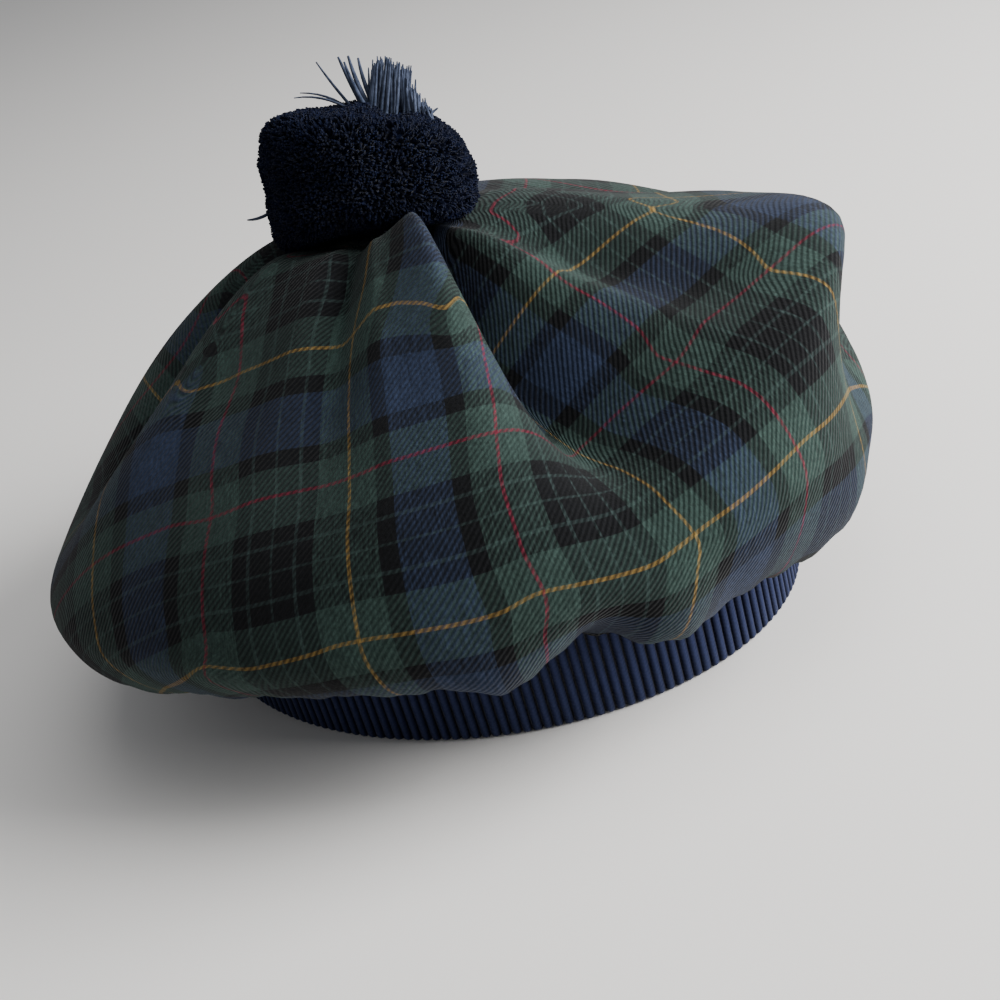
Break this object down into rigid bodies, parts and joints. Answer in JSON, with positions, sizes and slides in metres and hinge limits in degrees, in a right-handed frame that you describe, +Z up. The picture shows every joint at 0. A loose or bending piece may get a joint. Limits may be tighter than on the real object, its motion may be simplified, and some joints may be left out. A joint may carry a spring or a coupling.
{
  "type": "tam o' shanter",
  "caption": "Wide soft tartan crown gathered onto a ribbed knitted band, with a wool pompom sewn to its middle.",
  "frame": {"origin": "on the surface that the band rests on, under the middle of the crown's outline", "axes": "+Z up out of the crown, -Y towards the front of the hat, +X to the wearer's left"},
  "size_m": [0.2484, 0.2568, 0.1661],
  "materials": {
    "tartan_wool": "brushed twill wool in a green, blue and black check with thin yellow and red lines",
    "rib_knit": "navy rib knit",
    "wool_yarn": "very dark navy cut wool yarn"
  },
  "bodies": {
    "root": {"crown": "tartan_wool", "band": "rib_knit", "pompom": "wool_yarn"}
  },
  "joints": []
}
